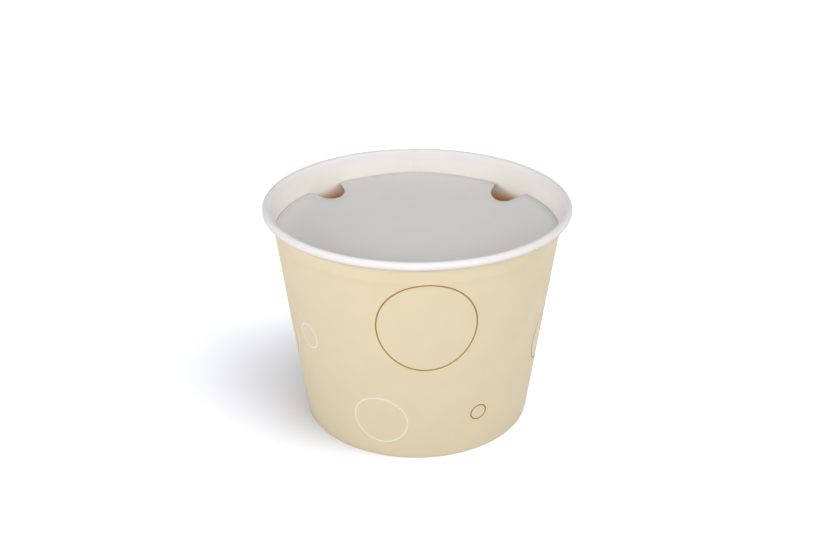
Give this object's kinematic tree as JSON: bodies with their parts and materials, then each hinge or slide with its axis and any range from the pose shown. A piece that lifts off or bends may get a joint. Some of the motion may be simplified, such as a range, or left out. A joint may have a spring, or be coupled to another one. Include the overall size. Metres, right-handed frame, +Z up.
{
  "type": "food bucket",
  "caption": "Round tapered paperboard food bucket with a rolled rim, a low shoulder, a recessed bottom disc and a loose inner disc with finger notches.",
  "frame": {"origin": "centre of the base, on the floor under the hem", "axes": "+Z up along the bucket's axis, -Y the front of the print, +Y the lap seam at the back, +X right"},
  "size_m": [0.185, 0.185, 0.1378],
  "materials": {
    "printed_board": "satin",
    "white_board": "satin",
    "inner_board": "matte"
  },
  "bodies": {
    "root": {"sidewall": "printed_board", "bottom": "white_board", "inner_disc": "inner_board"}
  },
  "joints": []
}
